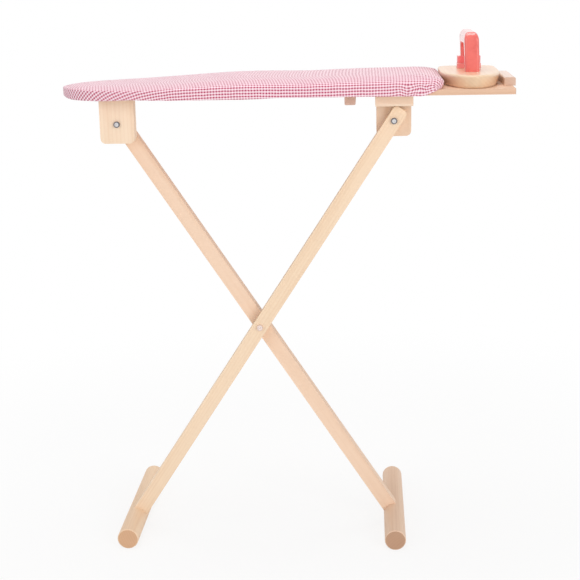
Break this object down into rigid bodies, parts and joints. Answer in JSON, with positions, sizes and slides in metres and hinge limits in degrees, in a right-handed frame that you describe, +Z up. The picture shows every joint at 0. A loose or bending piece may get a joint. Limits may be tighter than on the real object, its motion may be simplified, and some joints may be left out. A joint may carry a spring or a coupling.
{
  "type": "toy ironing board with iron",
  "caption": "Toy ironing board: padded gingham top on a folding wooden cross-leg stand, with a bare end where a removable wooden iron with an arched handle rests.",
  "frame": {"origin": "on the floor, in the middle of the whole outline", "axes": "+Z up, +X from the board's nose to the iron rest, -Y is the side in the picture"},
  "size_m": [0.504, 0.198, 0.5742],
  "materials": {
    "pale_wood": "fine sanded, clear matt lacquer",
    "dowel_wood": "fine sanded, clear matt lacquer",
    "gingham_cloth": "woven cotton, small pink and white check",
    "coral_paint": "satin coral paint on wood",
    "zinc_steel": "zinc plated"
  },
  "bodies": {
    "board": {"deck_board": "pale_wood", "pad_cushion": "gingham_cloth", "cover_hem": "gingham_cloth", "stop_bar": "dowel_wood", "stop_bar_screws": "zinc_steel", "cross_cleat": "dowel_wood", "cleat_screws": "zinc_steel", "left_plate": "pale_wood", "left_block": "pale_wood", "left_dowels": "dowel_wood", "left_block_screws": "zinc_steel", "left_bolt": "zinc_steel", "left_washer": "zinc_steel", "left_nut": "zinc_steel"},
    "back_leg_frame": {"back_leg": "pale_wood", "back_foot": "dowel_wood", "back_foot_screw": "zinc_steel", "cross_bolt": "zinc_steel", "cross_washer": "zinc_steel", "cross_nut": "zinc_steel"},
    "front_leg_frame": {"front_leg": "pale_wood", "front_foot": "dowel_wood", "front_foot_screw": "zinc_steel"},
    "slide_bracket": {"right_plate": "pale_wood", "right_block": "pale_wood", "right_dowels": "dowel_wood", "guide_pegs": "dowel_wood", "right_bolt": "zinc_steel", "right_washer": "zinc_steel", "right_nut": "zinc_steel"},
    "iron": {"iron_sole": "pale_wood", "iron_tier_lower": "coral_paint", "iron_tier_upper": "coral_paint", "iron_handle": "coral_paint", "iron_dowels": "dowel_wood"}
  },
  "joints": [
    {"name": "leg_fold", "type": "hinge", "parent": "board", "child": "back_leg_frame", "pos_m": [-0.18512, 0, 0.48059], "axis": [0, -1, 0], "range_deg": [0, 53]},
    {"name": "cross_pivot", "type": "hinge", "parent": "back_leg_frame", "child": "front_leg_frame", "pos_m": [-0.0318, 0, 0.24629], "axis": [0, -1, 0], "range_deg": [-106, 0]},
    {"name": "bracket_pivot", "type": "hinge", "parent": "front_leg_frame", "child": "slide_bracket", "pos_m": [0.12152, 0, 0.48059], "axis": [0, -1, 0], "range_deg": [0, 53]},
    {"name": "iron_lift", "type": "slide", "parent": "board", "child": "iron", "axis": [0, 0, 1], "range_m": [0, 0.12]}
  ],
  "couplings": [
    {"joint": "cross_pivot", "follows": "leg_fold", "ratio": -2},
    {"joint": "bracket_pivot", "follows": "leg_fold", "ratio": 1}
  ]
}
